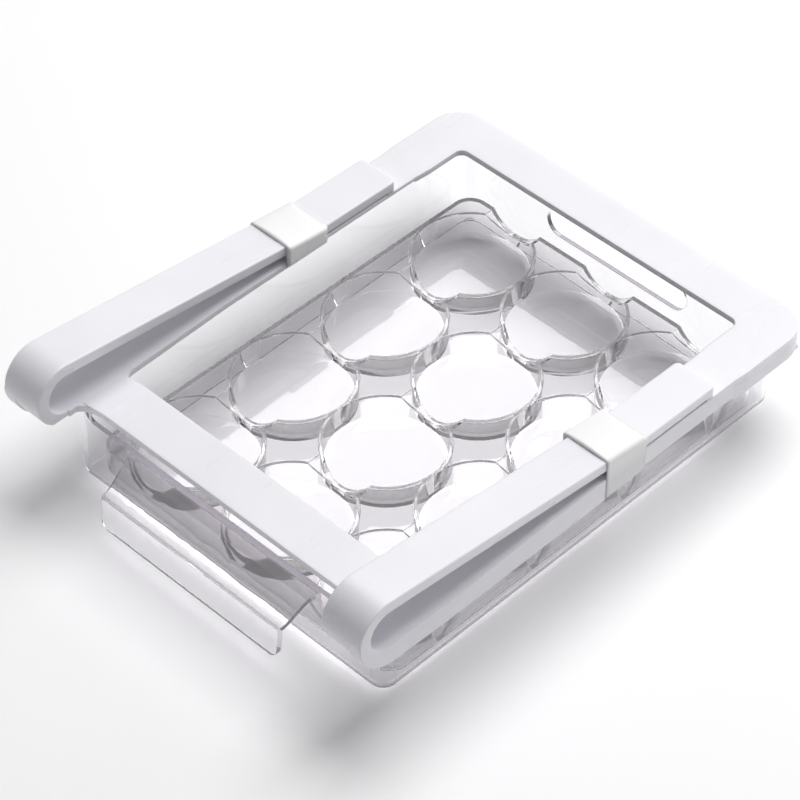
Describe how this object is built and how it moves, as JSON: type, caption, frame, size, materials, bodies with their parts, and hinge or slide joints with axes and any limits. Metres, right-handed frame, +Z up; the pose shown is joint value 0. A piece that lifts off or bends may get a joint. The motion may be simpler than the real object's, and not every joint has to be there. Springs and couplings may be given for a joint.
{
  "type": "fridge storage drawer",
  "caption": "Under-shelf fridge drawer: a white hanger ring with looped shelf clips and lock sleeves, a clear sliding bin with a pull, and a lift-out egg tray.",
  "frame": {"origin": "on the plane the drawer stands on, straight under the centre of the hanger ring", "axes": "+X to the right along the front, +Y from the front pull to the back, +Z up"},
  "size_m": [0.2004, 0.2617, 0.0704],
  "materials": {
    "white_plastic": "satin",
    "sleeve_plastic": "semi-gloss",
    "clear_plastic": "clear polished",
    "tray_plastic": "clear polished"
  },
  "bodies": {
    "frame": {"hanger_frame": "white_plastic"},
    "drawer": {"drawer_bin": "clear_plastic"},
    "tray": {"egg_tray": "tray_plastic"},
    "sleeve_left": {"lock_sleeve_left": "sleeve_plastic"},
    "sleeve_right": {"lock_sleeve_right": "sleeve_plastic"}
  },
  "joints": [
    {"name": "drawer_slide", "type": "slide", "parent": "frame", "child": "drawer", "axis": [0, -1, 0], "range_m": [0, 0.159]},
    {"name": "egg_tray_lift", "type": "slide", "parent": "drawer", "child": "tray", "axis": [0, 0, 1], "range_m": [0, 0.025]},
    {"name": "lock_sleeve_left_slide", "type": "slide", "parent": "frame", "child": "sleeve_left", "axis": [0, 1, 0], "range_m": [0, 0.0538]},
    {"name": "lock_sleeve_right_slide", "type": "slide", "parent": "frame", "child": "sleeve_right", "axis": [0, 1, 0], "range_m": [0, 0.0538]}
  ]
}
